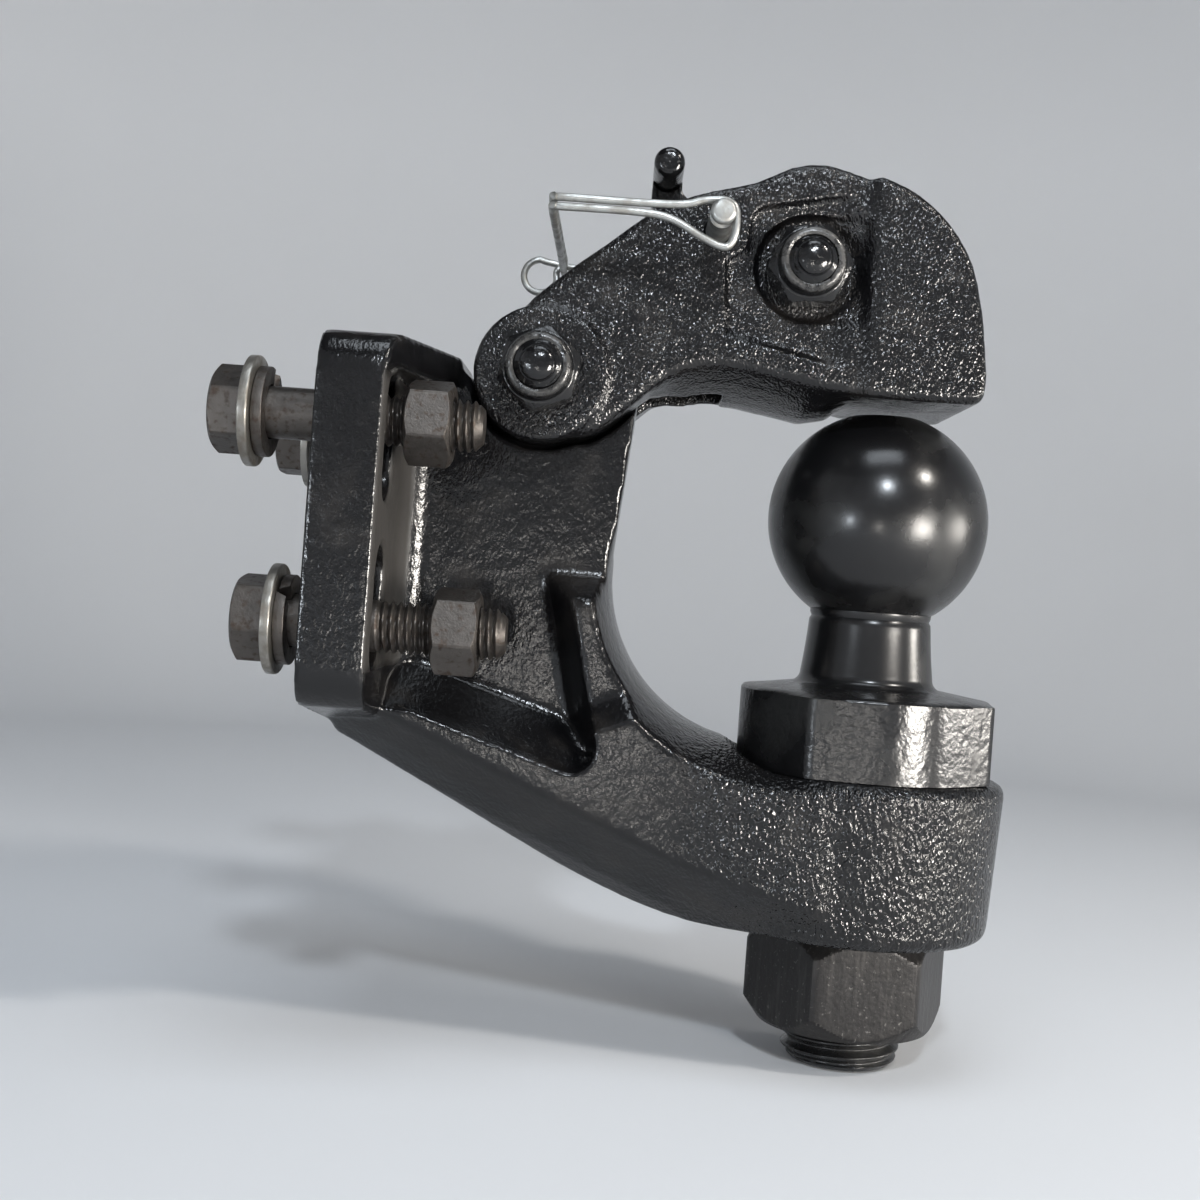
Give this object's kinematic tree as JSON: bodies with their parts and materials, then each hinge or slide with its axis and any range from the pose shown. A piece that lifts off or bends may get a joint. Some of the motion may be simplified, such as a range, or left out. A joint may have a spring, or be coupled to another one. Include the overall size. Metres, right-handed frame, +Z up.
{
  "type": "pintle hook with tow ball",
  "caption": "Cast bolt-on pintle hook with a tow ball in its lower arm and a hinged upper jaw held shut by a lever, a cross pin and a wire keeper.",
  "frame": {"origin": "middle of the mount plate's back face, between the four slots", "axes": "+X from the mount face towards the ball, +Y across the hook, away from the side that carries the pivot nuts, +Z up"},
  "size_m": [0.2103, 0.114, 0.2369],
  "materials": {
    "casting": "gloss black enamel over a sand-cast skin",
    "ball_black": "smooth gloss black",
    "black_fastener": "black paint on turned steel",
    "bare_steel": "dark bare steel, faintly brown",
    "zinc": "bright zinc plate"
  },
  "bodies": {
    "hook": {"hook_body": "casting", "hitch_ball": "ball_black", "ball_nut": "black_fastener", "mount_bolt_1": "bare_steel", "mount_bolt_2": "bare_steel", "mount_bolt_3": "bare_steel", "mount_bolt_4": "bare_steel", "flat_washer_1": "zinc", "flat_washer_2": "zinc", "flat_washer_3": "zinc", "flat_washer_4": "zinc", "lock_washer_1": "bare_steel", "lock_washer_2": "bare_steel", "lock_washer_3": "bare_steel", "lock_washer_4": "bare_steel", "mount_nut_1": "bare_steel", "mount_nut_2": "bare_steel", "mount_nut_3": "bare_steel", "mount_nut_4": "bare_steel"},
    "jaw": {"upper_jaw": "casting", "jaw_pivot_bolt": "black_fastener", "jaw_pivot_nut": "black_fastener", "lock_pivot_bolt": "black_fastener", "lock_pivot_nut": "black_fastener", "lock_spring": "zinc"},
    "lever": {"lock_lever": "casting", "lock_handle": "black_fastener"},
    "pin": {"safety_pin": "zinc"},
    "keeper": {"keeper_wire": "zinc"}
  },
  "joints": [
    {"name": "jaw_pivot", "type": "hinge", "parent": "hook", "child": "jaw", "pos_m": [0.051, 0, 0.0415], "axis": [0, -1, 0], "range_deg": [0, 60]},
    {"name": "lock_lever_pivot", "type": "hinge", "parent": "jaw", "child": "lever", "pos_m": [0.1168, 0, 0.0732], "axis": [0, 1, 0], "range_deg": [0, 15], "stiffness_Nm_per_rad": 0.8, "springref_deg": -17.19},
    {"name": "safety_pin_pull", "type": "slide", "parent": "jaw", "child": "pin", "axis": [0, 1, 0], "range_m": [0, 0.076]},
    {"name": "keeper_swing", "type": "hinge", "parent": "pin", "child": "keeper", "pos_m": [0.0932, 0.04, 0.0808], "axis": [0, 0, -1], "range_deg": [0, 132], "deforming": ["keeper_wire"]}
  ],
  "couplings": [
    {"joint": "keeper_swing", "follows": "safety_pin_pull", "rad_per_m": 30}
  ]
}
